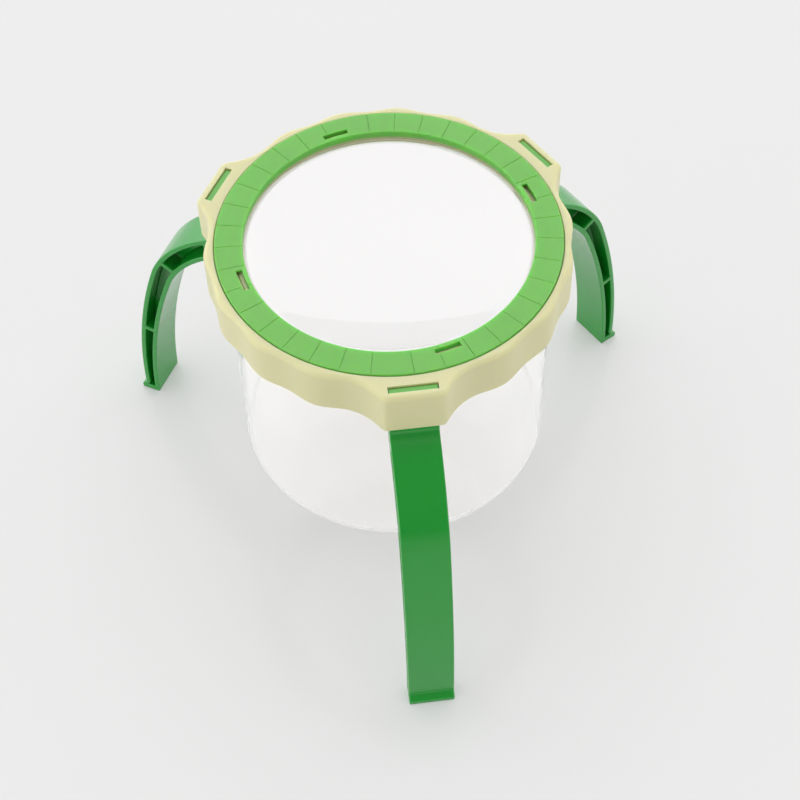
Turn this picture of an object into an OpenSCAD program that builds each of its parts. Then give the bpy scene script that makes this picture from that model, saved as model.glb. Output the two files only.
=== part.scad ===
// Bug catcher jar: a clear jar twists up into a scalloped lid that holds a
// magnifying lens, and three plug-in legs carry the lid above the ground.
// Millimetres, +Z up. The ground is at zero height, and the origin is the
// middle of the rectangle that the stand covers.

/* [Stand] */
// Height of the lid's underside above the ground
stand_h = 110.3; // [106:0.1:116]
// How far the arm's start lies below the lid
hip_drop = 7.7; // [7:0.1:9]
// How far the arm's start is set back from a tongue's middle
hip_set = 1.15; // [0.5:0.05:1.5]
// How far an arm reaches out from its start to the knee
arm_reach = 26.1; // [22:0.1:32]
// How far a knee lies below the arm's start
arm_drop = 25.3; // [22:0.1:30]
// How far a foot stands out from the knee
shin_reach = 15.1; // [12:0.1:20]
// How far an arm bows out from a straight line
arm_bow = 3.3; // [2:0.1:4.5]
// How far a shin bows out from a straight line
shin_bow = 3.5; // [2:0.1:5]

/* [Leg section] */
// Width of a leg across its flanges
leg_w = 16.2; // [15.8:0.1:17]
// Depth of the leg at the hip
arm_depth = 9.3; // [8.5:0.1:10]
// Depth of the leg at the knee
knee_depth = 8.3; // [7.5:0.1:9.5]
// Depth of the leg at the ground
foot_depth = 5.6; // [5.4:0.1:7]
// Thickness of the two flanges
flange_t = 1.9; // [1.5:0.1:2.2]
// Thickness of the web between the flanges
web_t = 2; // [1.5:0.1:3]
// Thickness of the cross ribs
rib_t = 1.9; // [1.2:0.1:3]
// Thickness of the plate that closes a foot
sole_t = 2.3; // [1.5:0.1:3]
// How far a foot's lip stands out
toe_reach = 1.9; // [1:0.05:3]
// Height at which a foot's lip starts to lean out
toe_h = 4.1; // [3:0.1:6]
// Height of the lip's upright edge
toe_edge_h = 1.9; // [1:0.1:2.6]

/* [Plug] */
// Thickness of a tongue
tongue_t = 2.2; // [1.8:0.1:2.6]
// Width of a tongue
tongue_w = 15.6; // [14:0.1:15.8]
// How far a tongue's tip stays below the lid's top
tongue_short = 0.8; // [0.5:0.1:3]
// Gap between a tongue and its slot on each side
slot_gap = 0.2; // [0.1:0.05:0.3]
// Thickness of the neck under a lug, from the axis outwards
neck_t = 4.8; // [4.2:0.1:5.4]

/* [Lid] */
// Height of the lid ring
lid_h = 17.1; // [16.4:0.1:20]
// Thickness of the lid's wall at the grip's dips
lid_wall_t = 2.2; // [1.6:0.1:3]
// Height of the grip's waves
wave_h = 1.25; // [0.5:0.05:2]
// Number of waves between two lugs
wave_count = 4; // [3:1:6]
// Angle between a lug's middle and the nearest dip
dip_angle = 20; // [18:1:22]
// Thickness of the wall inside a lug's slot
slot_wall_t = 1.4; // [1.2:0.1:2.5]
// Thickness of the wall outside a lug's slot
lug_wall_t = 2.45; // [2:0.05:4]
// Width of a lug's flat face
lug_w = 20.2; // [18.5:0.1:22]
// How far the lug's sides are hollowed
lug_hollow = 1.35; // [0.8:0.05:2]
// Rounding of a lug's upright corners
lug_edge = 2.4; // [0.5:0.1:3]
// Thickness of the lip under the lens
lip_t = 1.8; // [1.4:0.1:2.2]
// How far that lip reaches under the lens
lip_lap = 1; // [0.6:0.1:1.6]
// Thickness of the upright wall around the lens
lens_wall_t = 1.05; // [0.9:0.05:1.2]
// How far that wall rises above the bezel's seat
lens_wall_rise = 0.7; // [0.3:0.1:1]

/* [Bezel] */
// Thickness of the bezel
bezel_t = 2.6; // [2.4:0.1:3]
// How far the bezel stands above the lid's top
bezel_proud = 0.4; // [0:0.1:0.8]
// Gap all round between the bezel and the lid
bezel_gap = 0.25; // [0.15:0.05:0.4]
// How far the bezel covers the lens's rim
rim_lap = 1.4; // [1:0.1:2]
// Thickness of the bezel's top over the lens wall
bezel_skin_t = 1.1; // [0.8:0.05:1.3]
// Room between the lens wall and the band that carries the hooks
step_room = 1.1; // [0.8:0.1:1.5]
// Width of that band
band_w = 2.4; // [2:0.1:2.8]
// Width of the hollow outside that band
hollow_w = 1.8; // [1.2:0.1:3]
// Thickness of the bezel's outer skirt
bezel_skirt_t = 1.5; // [1:0.1:2]
// Chamfer on the bezel's top edges
bezel_edge = 0.4; // [0.2:0.1:0.6]
// Length of a window along the ring
window_w = 9; // [7:0.1:11]
// Thickness of the rim left between a window and the viewing hole
window_rim = 1.5; // [1.45:0.05:1.8]
// Width of a window, from the axis outwards
window_d = 2; // [1:0.05:2.1]
// Width of a radial groove
groove_w = 0.3; // [0.2:0.05:0.6]
// Depth of a radial groove
groove_d = 0.2; // [0.1:0.05:0.5]

/* [Snap hooks] */
// Length of a snap hook along the ring
hook_w = 8; // [6:0.1:10]
// Thickness of a snap hook's arm
hook_t = 1.2; // [0.9:0.1:1.3]
// How far a snap hook's arm is set back from the band's inner face
hook_set = 0.2; // [0.1:0.05:0.3]
// How far a snap hook's nose stands out
hook_nose = 0.9; // [0.6:0.1:1.2]
// Height of a snap hook's nose
hook_nose_h = 1.4; // [1:0.1:1.6]
// Gap around a snap hook
hook_gap = 0.2; // [0.1:0.05:0.3]

/* [Lens] */
// Outer radius of the lens
lens_r = 50; // [45:0.1:54]
// Thickness of the lens's flat rim
lens_rim_t = 3.2; // [2.8:0.1:3.6]
// Flat width left between the viewing hole and the domes
dome_edge = 1; // [0.5:0.1:3]
// Height of each dome over the rim
dome_h = 2.2; // [1.5:0.1:2.5]
// Gap between the lens and the wall around it
lens_gap = 0.15; // [0.1:0.05:0.2]

/* [Jar] */
// Outer radius of the jar
jar_r = 55.6; // [50:0.1:60]
// Height of the jar
jar_h = 90.4; // [80:0.1:100]
// Thickness of the jar's wall
jar_wall = 1.8; // [1.2:0.1:2.4]
// Thickness of the jar's floor
jar_floor_t = 2.2; // [1.5:0.1:3]
// Outer rounding at the foot of the jar's wall
jar_corner = 3; // [2:0.1:5]
// Width of the ring that the jar stands on when its legs are off
jar_foot_w = 3; // [2:0.1:6]
// Height of that ring
jar_foot_h = 0.8; // [0.4:0.1:1.5]
// Gap between the jar's mouth and the lid above it
mouth_gap = 0.3; // [0.2:0.1:0.5]

/* [Twist catch] */
// How far a jar tab stands out
tab_reach = 1.6; // [1.2:0.1:1.8]
// Gap between a jar tab and the lid's bore
tab_room = 0.8; // [0.4:0.1:1.5]
// Length of a jar tab along the rim
tab_w = 10; // [8:0.1:12]
// Thickness of a jar tab
tab_t = 2.2; // [1.6:0.1:2.6]
// How far a jar tab lies below the mouth
tab_drop = 3.4; // [3:0.1:3.8]
// Thickness of the lid's catch under a tab
catch_t = 2; // [1.5:0.1:2.4]
// Gap between a tab and its catch, and at the ends of its travel
catch_gap = 0.15; // [0.1:0.05:0.3]
// Gap between the jar's wall and the catches
jar_gap = 0.35; // [0.3:0.05:0.5]
// Turn that frees the jar, in degrees
free_turn = 30; // [25:1:35]
// Spare length at a catch's opening on each side
entry_gap = 1.2; // [0.8:0.1:2]
// Length of the block that stops the jar's turn
stop_w = 1.6; // [1.2:0.1:3]

/* [Hidden] */
$fn = 180;

// Directions of the legs, and of the bezel's windows, counted from the front leg
leg_count = 3;
leg_pitch = 360 / leg_count;
front_azimuth = -90;
window_count = 4;
window_first = 14.5;
window_pitch = 360 / window_count;

// The grooves come in two runs: first angle, number, counted from the front leg
groove_pitch = 10;
groove_runs = [[1, 19], [197.5, 16]];

// One overrun serves all cuts
over = 1;

// Radii, from the lens and the jar outwards
view_r = lens_r - rim_lap;
lip_r = lens_r - lip_lap;
dome_r = view_r - dome_edge;
lens_pocket_r = lens_r + lens_gap;
lens_wall_r = lens_pocket_r + lens_wall_t;
step_r = lens_wall_r + step_room;
band_r = step_r + band_w;
bezel_r = band_r + hollow_w + bezel_skirt_t;
seat_r = bezel_r + bezel_gap;
catch_r = jar_r + jar_gap;
skirt_r = jar_r + tab_reach + tab_room;
dip_r = max(seat_r, skirt_r) + lid_wall_t;
wave_r = dip_r + wave_h;
tongue_r = dip_r + slot_wall_t + slot_gap + tongue_t / 2;
lug_r = tongue_r + tongue_t / 2 + slot_gap + lug_wall_t;

// Share of the neck that lies on the axis side of the tongue's middle
neck_in_share = 0.57;
neck_in_r = tongue_r - neck_t * neck_in_share;
neck_out_r = neck_in_r + neck_t;
hip_r = tongue_r - hip_set;
knee_r = hip_r + arm_reach;
foot_r = knee_r + shin_reach;
toe_r = foot_r + foot_depth / 2 + toe_reach;

// Heights, from the ground up
lid_top_z = stand_h + lid_h;
bezel_top_z = lid_top_z + bezel_proud;
seat_z = bezel_top_z - bezel_t;
lens_floor_z = seat_z - lens_rim_t;
deck_z = lens_floor_z - lip_t;
wall_top_z = seat_z + lens_wall_rise;
jar_top_z = deck_z - mouth_gap;
jar_base_z = jar_top_z - jar_h;
tab_top_z = jar_top_z - tab_drop;
tab_low_z = tab_top_z - tab_t;
catch_top_z = tab_low_z - catch_gap;
hip_z = stand_h - hip_drop;
knee_z = hip_z - arm_drop;

// Steps along the curves
arm_steps = 10;
shin_steps = 18;
flare_steps = 6;
wave_steps = 8;
edge_steps = 4;
round_steps = 8;

// The upper rib sits at this share of the arm, the lower one at this share of the shin
upper_rib_share = 0.84;
lower_rib_share = 0.48;

// The stand covers the ground from the front toe to the back toes, and its
// middle is the origin, so the jar's axis stands this far behind it
back_reach = toe_r * sin(leg_pitch + front_azimuth) + leg_w / 2 * cos(leg_pitch + front_azimuth);
axis_y = (toe_r - back_reach) / 2;

// Point on a shallow arc from a to b, bowed to the left of that way
function bow_radius(a, b, bow) = (pow(norm(b - a) / 2, 2) + bow * bow) / (2 * bow);
function bow_angle(a, b, bow, u) = asin(norm(b - a) / 2 / bow_radius(a, b, bow)) * (2 * u - 1);
function way(a, b) = (b - a) / norm(b - a);
function left_of(v) = [-v.y, v.x];
function bow_point(a, b, bow, u) =
    let(radius = bow_radius(a, b, bow), t = bow_angle(a, b, bow, u))
    (a + b) / 2 + way(a, b) * radius * sin(t) + left_of(way(a, b)) * (radius * cos(t) - radius + bow);
function bow_normal(a, b, bow, u) =
    let(t = bow_angle(a, b, bow, u)) left_of(way(a, b)) * cos(t) + way(a, b) * sin(t);

// Point on a rounded corner at b, between a and c
function corner_point(a, b, c, u) = a * pow(1 - u, 2) + b * 2 * u * (1 - u) + c * pow(u, 2);

function turned(p, angle) = [p.x * cos(angle) - p.y * sin(angle), p.x * sin(angle) + p.y * cos(angle)];
function mirrored(points) = [for (i = [len(points) - 1 : -1 : 0]) [points[i].x, -points[i].y]];
function backwards(points) = [for (i = [len(points) - 1 : -1 : 0]) points[i]];
function arc_angle(length, radius) = length / radius * 180 / PI;

// Middle line of a leg, in its own upright plane: distance from the axis, height
hip = [hip_r, hip_z];
knee = [knee_r, knee_z];
foot = [foot_r, 0];
knee_normal = way([0, 0], bow_normal(hip, knee, arm_bow, 1) + bow_normal(knee, foot, shin_bow, 0));
leg_line = concat(
    [for (i = [0 : arm_steps - 1]) bow_point(hip, knee, arm_bow, i / arm_steps)],
    [for (i = [0 : shin_steps]) bow_point(knee, foot, shin_bow, i / shin_steps)],
    [foot - [0, sole_t]]);
leg_normals = concat(
    [for (i = [0 : arm_steps - 1]) bow_normal(hip, knee, arm_bow, i / arm_steps)],
    [knee_normal],
    [for (i = [1 : shin_steps]) bow_normal(knee, foot, shin_bow, i / shin_steps)],
    [[1, 0]]);
leg_depths = concat(
    [for (i = [0 : arm_steps - 1]) arm_depth + (knee_depth - arm_depth) * i / arm_steps],
    [for (i = [0 : shin_steps]) knee_depth + (foot_depth - knee_depth) * i / shin_steps],
    [foot_depth]);

// Line along the leg, half its depth to one side and then drawn in
function leg_side(side, drawn_in) =
    [for (i = [0 : len(leg_line) - 1])
        leg_line[i] + leg_normals[i] * side * (leg_depths[i] / 2 - drawn_in)];

// Outline of the lid: half a lug, the waves up to the next lug, and its other half
lug_corner = [lug_r, lug_w / 2];
lug_dip = [dip_r * cos(dip_angle), dip_r * sin(dip_angle)];
edge_share = lug_edge / norm(lug_dip - lug_corner);
flare_start = bow_point(lug_corner, lug_dip, lug_hollow, edge_share);
half_lug = concat(
    [for (i = [0 : edge_steps])
        corner_point(lug_corner - [0, lug_edge], lug_corner, flare_start, i / edge_steps)],
    [for (i = [1 : flare_steps])
        bow_point(lug_corner, lug_dip, lug_hollow, edge_share + (1 - edge_share) * i / flare_steps)]);
wave_pitch = (leg_pitch - 2 * dip_angle) / wave_count;
wave_points = wave_count * wave_steps;
function wave_radius(u) = (wave_r + dip_r) / 2 - (wave_r - dip_r) / 2 * cos(360 * wave_count * u);
function wave_point(u) =
    turned([wave_radius(u), 0], dip_angle + wave_pitch * wave_count * u);
lid_side = concat(
    half_lug,
    [for (i = [1 : wave_points - 1]) wave_point(i / wave_points)],
    [for (p = mirrored(half_lug)) turned(p, leg_pitch)]);

// Places everything that is built around the jar's axis
module on_axis() {
    translate([0, axis_y, 0]) children();
}

module around(count, first, pitch) {
    for (i = [0 : count - 1])
        rotate([0, 0, first + i * pitch]) children();
}

// A block bent around the axis, from angle to angle
module arc_block(r_in, r_out, z_low, z_high, from, to) {
    rotate([0, 0, from])
        rotate_extrude(angle = to - from)
            translate([r_in, z_low])
                square([r_out - r_in, z_high - z_low]);
}

// The same, by its length at its outer radius and centred on the first axis
module centred_block(r_in, r_out, z_low, z_high, length) {
    half = arc_angle(length, r_out) / 2;
    arc_block(r_in, r_out, z_low, z_high, -half, half);
}

module jar_shell() {
    floor_z = jar_foot_h + jar_floor_t;
    inner_r = jar_r - jar_wall;
    inner_corner = jar_corner - jar_wall / 2;
    ring_in_r = jar_r - jar_corner - jar_foot_w;
    outer_curve = [for (i = [0 : round_steps])
        [jar_r - jar_corner, jar_corner] + jar_corner * [sin(90 * i / round_steps), -cos(90 * i / round_steps)]];
    inner_curve = [for (i = [0 : round_steps])
        [inner_r - inner_corner, floor_z + inner_corner]
        + inner_corner * [cos(90 * i / round_steps), -sin(90 * i / round_steps)]];
    rotate_extrude()
        polygon(concat(
            [[0, jar_foot_h], [ring_in_r, jar_foot_h], [ring_in_r, 0]],
            outer_curve,
            [[jar_r, jar_h], [inner_r, jar_h]],
            inner_curve,
            [[0, floor_z]]));
}

module jar() {
    color([0.93, 0.95, 0.95, 0.35])
        on_axis() {
            translate([0, 0, jar_base_z]) jar_shell();
            around(leg_count, front_azimuth, leg_pitch)
                centred_block(jar_r - jar_wall / 2, jar_r + tab_reach, tab_low_z, tab_top_z, tab_w);
        }
}

// The ledges that carry the jar's tabs, open where a freed tab drops out
module catches() {
    tab_half = arc_angle(tab_w, jar_r + tab_reach) / 2;
    entry_half = tab_half + arc_angle(entry_gap, catch_r);
    stop_from = tab_half + arc_angle(catch_gap, skirt_r);
    around(leg_count, front_azimuth, leg_pitch) {
        arc_block(catch_r, skirt_r + over, catch_top_z - catch_t, catch_top_z,
            free_turn + entry_half - leg_pitch, free_turn - entry_half);
        arc_block(catch_r, skirt_r + over, catch_top_z - catch_t, tab_top_z,
            -stop_from - arc_angle(stop_w, skirt_r), -stop_from);
    }
}

module lid_blank() {
    translate([0, 0, stand_h])
        linear_extrude(lid_h)
            polygon([for (k = [0 : leg_count - 1]) for (p = lid_side) turned(p, front_azimuth + k * leg_pitch)]);
}

// Everything taken out of the lid's middle: the skirt's bore, the lip's hole,
// the lens's seat and the bezel's seat
module lid_bore() {
    low = stand_h - over;
    high = lid_top_z + over;
    rotate_extrude()
        polygon([
            [0, low], [skirt_r, low], [skirt_r, deck_z], [lip_r, deck_z],
            [lip_r, lens_floor_z], [lens_pocket_r, lens_floor_z],
            [lens_pocket_r, wall_top_z], [lens_wall_r, wall_top_z],
            [lens_wall_r, seat_z], [seat_r, seat_z], [seat_r, high], [0, high]]);
}

// A snap hook's way through the deck, with room below for its nose
module hook_way() {
    in_r = step_r + hook_set - hook_gap;
    arm_r = step_r + hook_set + hook_t + hook_gap;
    nose_r = arm_r + hook_nose;
    nose_room_z = deck_z + hook_nose_h + 2 * hook_gap;
    half = arc_angle(hook_w + 2 * hook_gap, arm_r) / 2;
    rotate([0, 0, -half])
        rotate_extrude(angle = 2 * half)
            polygon([
                [in_r, deck_z - over], [nose_r, deck_z - over], [nose_r, nose_room_z],
                [arm_r, nose_room_z], [arm_r, seat_z + over], [in_r, seat_z + over]]);
}

module leg_slot() {
    translate([tongue_r, 0, stand_h + lid_h / 2])
        cube([tongue_t + 2 * slot_gap, tongue_w + 2 * slot_gap, lid_h + 2 * over], center = true);
}

module lid_ring() {
    color([0.89, 0.87, 0.73])
        on_axis() {
            difference() {
                lid_blank();
                lid_bore();
                around(leg_count, front_azimuth, leg_pitch) leg_slot();
                around(window_count, front_azimuth + window_first, window_pitch) hook_way();
            }
            catches();
        }
}

// The bezel's section: a rim over the lens, a thin skin over the lens wall, a
// solid band, a hollow and an outer skirt
module bezel_section() {
    top = bezel_t;
    skin_low = bezel_t - bezel_skin_t;
    hollow_top = bezel_t - bezel_skirt_t;
    polygon([
        [view_r, 0], [view_r, top - bezel_edge], [view_r + bezel_edge, top],
        [bezel_r - bezel_edge, top], [bezel_r, top - bezel_edge], [bezel_r, 0],
        [bezel_r - bezel_skirt_t, 0], [bezel_r - bezel_skirt_t, hollow_top],
        [band_r, hollow_top], [band_r, 0], [step_r, 0], [step_r, skin_low],
        [lens_r, skin_low], [lens_r, 0]]);
}

// A hook hangs from the band, and its nose catches under the deck
module snap_hook() {
    arm_r = step_r + hook_set + hook_t;
    nose_top_z = deck_z + hook_nose_h + hook_gap;
    nose_low_z = nose_top_z - hook_nose_h;
    nose_r = arm_r + hook_nose;
    half = arc_angle(hook_w, arm_r) / 2;
    rotate([0, 0, -half])
        rotate_extrude(angle = 2 * half)
            polygon([
                [step_r + hook_set, nose_low_z], [nose_r, nose_low_z], [nose_r, nose_top_z],
                [arm_r, nose_top_z], [arm_r, seat_z + over], [step_r + hook_set, seat_z + over]]);
}

module groove() {
    length = bezel_r - view_r + 2 * over;
    translate([view_r - over, -groove_w / 2, bezel_top_z - groove_d])
        cube([length, groove_w, groove_d + over]);
}

module bezel() {
    color([0.51, 0.79, 0.42])
        on_axis() {
            difference() {
                translate([0, 0, seat_z]) rotate_extrude() bezel_section();
                around(window_count, front_azimuth + window_first, window_pitch)
                    centred_block(view_r + window_rim, view_r + window_rim + window_d,
                        seat_z - over, bezel_top_z + over, window_w);
                for (run = groove_runs)
                    around(run[1], front_azimuth + run[0], groove_pitch) groove();
            }
            around(window_count, front_azimuth + window_first, window_pitch) snap_hook();
        }
}

// Two shallow domes on a flat rim
module lens_section() {
    sphere_r = (dome_r * dome_r + dome_h * dome_h) / (2 * dome_h);
    sweep = asin(dome_r / sphere_r);
    top_curve = [for (i = [0 : round_steps])
        [sphere_r * sin(sweep * (1 - i / round_steps)),
            lens_rim_t + dome_h - sphere_r + sphere_r * cos(sweep * (1 - i / round_steps))]];
    low_curve = [for (p = backwards(top_curve)) [p.x, lens_rim_t - p.y]];
    polygon(concat([[lens_r, 0], [lens_r, lens_rim_t]], top_curve, low_curve));
}

module lens() {
    color([0.96, 0.97, 0.98, 0.25])
        on_axis()
            translate([0, 0, lens_floor_z])
                rotate_extrude()
                    lens_section();
}

// A cross rib, square to the leg's middle line
module rib(a, b, bow, depth, share) {
    middle = bow_point(a, b, bow, share);
    out = bow_normal(a, b, bow, share);
    along = left_of(out);
    polygon([
        middle + out * depth / 2 + along * rib_t / 2,
        middle + out * depth / 2 - along * rib_t / 2,
        middle - out * depth / 2 - along * rib_t / 2,
        middle - out * depth / 2 + along * rib_t / 2]);
}

// The neck fills the corner between the arm and the lug above it
module neck() {
    arm_start = leg_side(-1, 0)[0];
    polygon([[neck_in_r, stand_h], [neck_out_r, stand_h], [neck_out_r, hip_z], arm_start]);
}

module above_ground() {
    square([foot_r + foot_depth + toe_reach, stand_h]);
}

// Side view of a leg, from the neck to the toe
module leg_side_view() {
    toe_in_r = foot_r - foot_depth / 2 + flange_t;
    intersection() {
        polygon(concat(leg_side(1, 0), backwards(leg_side(-1, 0))));
        above_ground();
    }
    neck();
    polygon([[toe_in_r, 0], [toe_r, 0], [toe_r, toe_edge_h],
        [foot_r + foot_depth / 2, toe_h], [toe_in_r, toe_h]]);
}

// The hollows left between the flanges, the ribs, the neck and the sole
module leg_hollows() {
    difference() {
        polygon(concat(leg_side(1, flange_t), backwards(leg_side(-1, flange_t))));
        neck();
        rib(hip, knee, arm_bow, arm_depth, upper_rib_share);
        rib(knee, foot, shin_bow, knee_depth, lower_rib_share);
        translate([0, sole_t - stand_h]) above_ground();
    }
}

module leg(azimuth) {
    hollow_d = (leg_w - web_t) / 2;
    color([0.20, 0.52, 0.22])
        on_axis()
            rotate([0, 0, azimuth]) {
                difference() {
                    rotate([90, 0, 0])
                        linear_extrude(leg_w, center = true) leg_side_view();
                    for (side = [-1, 1])
                        translate([0, side * (web_t / 2 + (hollow_d + over) / 2), 0])
                            rotate([90, 0, 0])
                                linear_extrude(hollow_d + over, center = true) leg_hollows();
                }
                translate([tongue_r - tongue_t / 2, -tongue_w / 2, hip_z])
                    cube([tongue_t, tongue_w, lid_top_z - tongue_short - hip_z]);
            }
}

module front_leg() {
    leg(front_azimuth);
}

module right_leg() {
    leg(front_azimuth + leg_pitch);
}

module left_leg() {
    leg(front_azimuth + 2 * leg_pitch);
}

jar();
lid_ring();
bezel();
lens();
front_leg();
right_leg();
left_leg();
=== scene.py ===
"""Looks of the bug catcher jar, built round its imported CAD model.

Lengths are in millimetres until a mesh is made. Pieces that turn round the
jar's axis are made about the origin and moved to the axis at the end.
"""

import math

import bmesh
import bpy
from mathutils import Matrix, Vector


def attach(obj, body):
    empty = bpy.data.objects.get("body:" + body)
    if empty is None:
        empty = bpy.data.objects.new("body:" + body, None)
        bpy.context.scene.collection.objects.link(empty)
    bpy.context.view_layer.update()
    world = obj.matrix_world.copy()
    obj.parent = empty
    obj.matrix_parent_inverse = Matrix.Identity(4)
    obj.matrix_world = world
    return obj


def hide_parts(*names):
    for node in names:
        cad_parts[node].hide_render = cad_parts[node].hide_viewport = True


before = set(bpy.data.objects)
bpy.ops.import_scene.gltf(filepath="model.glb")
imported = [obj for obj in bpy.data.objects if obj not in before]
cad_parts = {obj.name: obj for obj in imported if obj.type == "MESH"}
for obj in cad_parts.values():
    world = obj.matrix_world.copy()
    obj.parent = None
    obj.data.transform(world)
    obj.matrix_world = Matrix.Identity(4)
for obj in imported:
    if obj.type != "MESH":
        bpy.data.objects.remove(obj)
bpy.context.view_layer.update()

MM = 0.001

# Heights of the construction
STAND_H = 110.3
LID_H = 17.1
LID_TOP = STAND_H + LID_H
BEZEL_PROUD = 0.4
BEZEL_TOP = LID_TOP + BEZEL_PROUD
BEZEL_T = 2.6
SEAT_Z = BEZEL_TOP - BEZEL_T
LENS_RIM_T = 3.2
LENS_FLOOR = SEAT_Z - LENS_RIM_T
LIP_T = 1.8
DECK_Z = LENS_FLOOR - LIP_T
SKIN_T = 1.1
LENS_WALL_RISE = 0.7
LENS_WALL_TOP = SEAT_Z + LENS_WALL_RISE
MOUTH_GAP = 0.3
JAR_TOP = DECK_Z - MOUTH_GAP
JAR_H = 90.4
JAR_BASE = JAR_TOP - JAR_H
TAB_DROP = 3.4
TAB_T = 2.2
TAB_TOP = JAR_TOP - TAB_DROP
TAB_LOW = TAB_TOP - TAB_T
CATCH_GAP = 0.15
CATCH_TOP = TAB_LOW - CATCH_GAP
CATCH_T = 2.0

# Radii, from the lens outwards
VIEW_R = 48.6
LENS_R = 50.0
LIP_R = 49.0
POCKET_R = 50.15
LENS_WALL_R = 51.2
STEP_R = 52.3
BAND_R = 54.7
BEZEL_R = 58.0
WINDOW_RIM = 1.5
WINDOW_D = 2.0
WINDOW_IN_R = VIEW_R + WINDOW_RIM
WINDOW_OUT_R = WINDOW_IN_R + WINDOW_D
WINDOW_W = 9.0
HOOK_W = 8.0
HOOK_GAP = 0.2
HOOK_T = 1.2
HOOK_NOSE = 0.9
NOSE_T = 1.4
HOOK_SHOULDER_R = 53.9
HOOK_WAY_R = 54.8
SEAT_R = 58.25
SKIRT_R = 58.0
DIP_R = 60.45
TOP_EDGE = 1.8
WAVE_H = 1.25
LUG_R = 66.9
LUG_W = 20.2
LUG_HOLLOW = 1.35
DIP_ANGLE = 20.0
JAR_R = 55.6
JAR_WALL = 1.1
TAB_REACH = 1.6
TAB_W = 10.0
CATCH_R = 55.95

# Legs, in their own upright plane: distance from the axis, height
LEG_W = 16.2
TONGUE_R = 63.15
TONGUE_T = 2.2
TONGUE_SHORT = 0.8
TONGUE_W = 15.6
SLOT_GAP = 0.2
HIP = Vector((62.0, 102.6))
KNEE = Vector((88.1, 77.3))
FOOT = Vector((103.2, 0.0))
ARM_BOW = 3.3
SHIN_BOW = 3.5
ARM_DEPTH = 9.3
KNEE_DEPTH = 8.3
FOOT_DEPTH = 5.6
FLANGE_T = 1.9
WEB_T = 2.0
RIB_T = 1.9
SOLE_T = 2.3
TOE_REACH = 1.9
TOE_H = 4.1
TOE_EDGE_H = 1.9
NECK_IN_R = 60.414
NECK_OUT_R = 65.214

# The stand's middle is the origin, so the axis stands behind it
TOE_R = FOOT.x + FOOT_DEPTH / 2 + TOE_REACH
AXIS_Y = (TOE_R - (TOE_R * math.sin(math.radians(30)) + LEG_W / 2 * math.cos(math.radians(30)))) / 2
FRONT = -90.0
LEG_PITCH = 120.0
LEGS = 3
WINDOW_FIRST = 14.5
WINDOW_PITCH = 90.0
WINDOWS = 4

ROUND_STEPS = 720
CORNER_STEPS = 6


def linear(code):
    """sRGB hex to the linear colour that a shader takes."""
    parts = [int(code[i:i + 2], 16) / 255 for i in (1, 3, 5)]
    return [c / 12.92 if c <= 0.04045 else ((c + 0.055) / 1.055) ** 2.4 for c in parts] + [1.0]


def add(tree, kind, inputs=None, **settings):
    """Adds a node with its settings, its values and its links."""
    made = tree.nodes.new(kind)
    for name, value in settings.items():
        setattr(made, name, value)
    for key, value in (inputs or {}).items():
        if isinstance(value, bpy.types.NodeSocket):
            tree.links.new(value, made.inputs[key])
        else:
            made.inputs[key].default_value = value
    return made


def make_mesh(name, vertices, faces):
    """A clean closed mesh from millimetres, with its faces pointing outwards."""
    shape = bmesh.new()
    made = [shape.verts.new(Vector(v) * MM) for v in vertices]
    for face in faces:
        if len(set(face)) > 2:
            shape.faces.new([made[i] for i in face])
    bmesh.ops.remove_doubles(shape, verts=shape.verts, dist=1e-7)
    bmesh.ops.dissolve_degenerate(shape, edges=shape.edges, dist=1e-7)
    bmesh.ops.recalc_face_normals(shape, faces=shape.faces)
    mesh = bpy.data.meshes.new(name)
    shape.to_mesh(mesh)
    shape.free()
    return mesh


def new_object(name, mesh):
    obj = bpy.data.objects.new(name, mesh)
    bpy.context.scene.collection.objects.link(obj)
    return obj


def revolve(name, section, first=0.0, sweep=360.0, steps=ROUND_STEPS):
    """Turns a closed section of (radius, height) round the axis, with end caps if it stays open."""
    whole = sweep >= 360.0
    columns = steps if whole else steps + 1
    n = len(section)
    vertices = []
    for i in range(columns):
        angle = math.radians(first + sweep * i / steps)
        vertices += [(r * math.cos(angle), r * math.sin(angle), z) for r, z in section]
    faces = []
    for i in range(steps):
        a, b = i * n, ((i + 1) % columns) * n
        for j in range(n):
            k = (j + 1) % n
            if section[j][0] == 0 and section[k][0] == 0:
                continue
            faces.append((a + j, b + j, b + k, a + k))
    if not whole:
        faces.append(tuple(range(n)))
        faces.append(tuple(reversed(range(steps * n, (steps + 1) * n))))
    return make_mesh(name, vertices, faces)


def rounded(points, radii, steps=CORNER_STEPS):
    """The outline with each corner rounded by its own radius."""
    made = []
    for i, corner in enumerate(points):
        here, before = Vector(corner), Vector(points[i - 1])
        after = Vector(points[(i + 1) % len(points)])
        if not radii[i]:
            made.append(tuple(here))
            continue
        a, b = (before - here).normalized(), (after - here).normalized()
        half = a.angle(b) / 2
        reach = radii[i] / math.tan(half)
        middle = here + (a + b).normalized() * radii[i] / math.sin(half)
        start, end = here + a * reach - middle, here + b * reach - middle
        turn = start.angle_signed(end)
        for k in range(steps + 1):
            angle = -turn * k / steps
            made.append(tuple(middle + Vector((
                start.x * math.cos(angle) - start.y * math.sin(angle),
                start.x * math.sin(angle) + start.y * math.cos(angle)))))
    return made


def plain(obj):
    """Turns an object with its modifiers into a plain mesh."""
    seen = bpy.context.evaluated_depsgraph_get()
    mesh = bpy.data.meshes.new_from_object(
        obj.evaluated_get(seen), preserve_all_data_layers=True, depsgraph=seen)
    obj.modifiers.clear()
    obj.data = mesh
    return obj


def combine(obj, other, operation):
    """Cuts another object out of this one, or joins it on, and removes the other."""
    change = obj.modifiers.new("Combine", "BOOLEAN")
    change.object = other
    change.operation = operation
    change.solver = "EXACT"
    plain(obj)
    bpy.data.objects.remove(other)
    return obj


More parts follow.
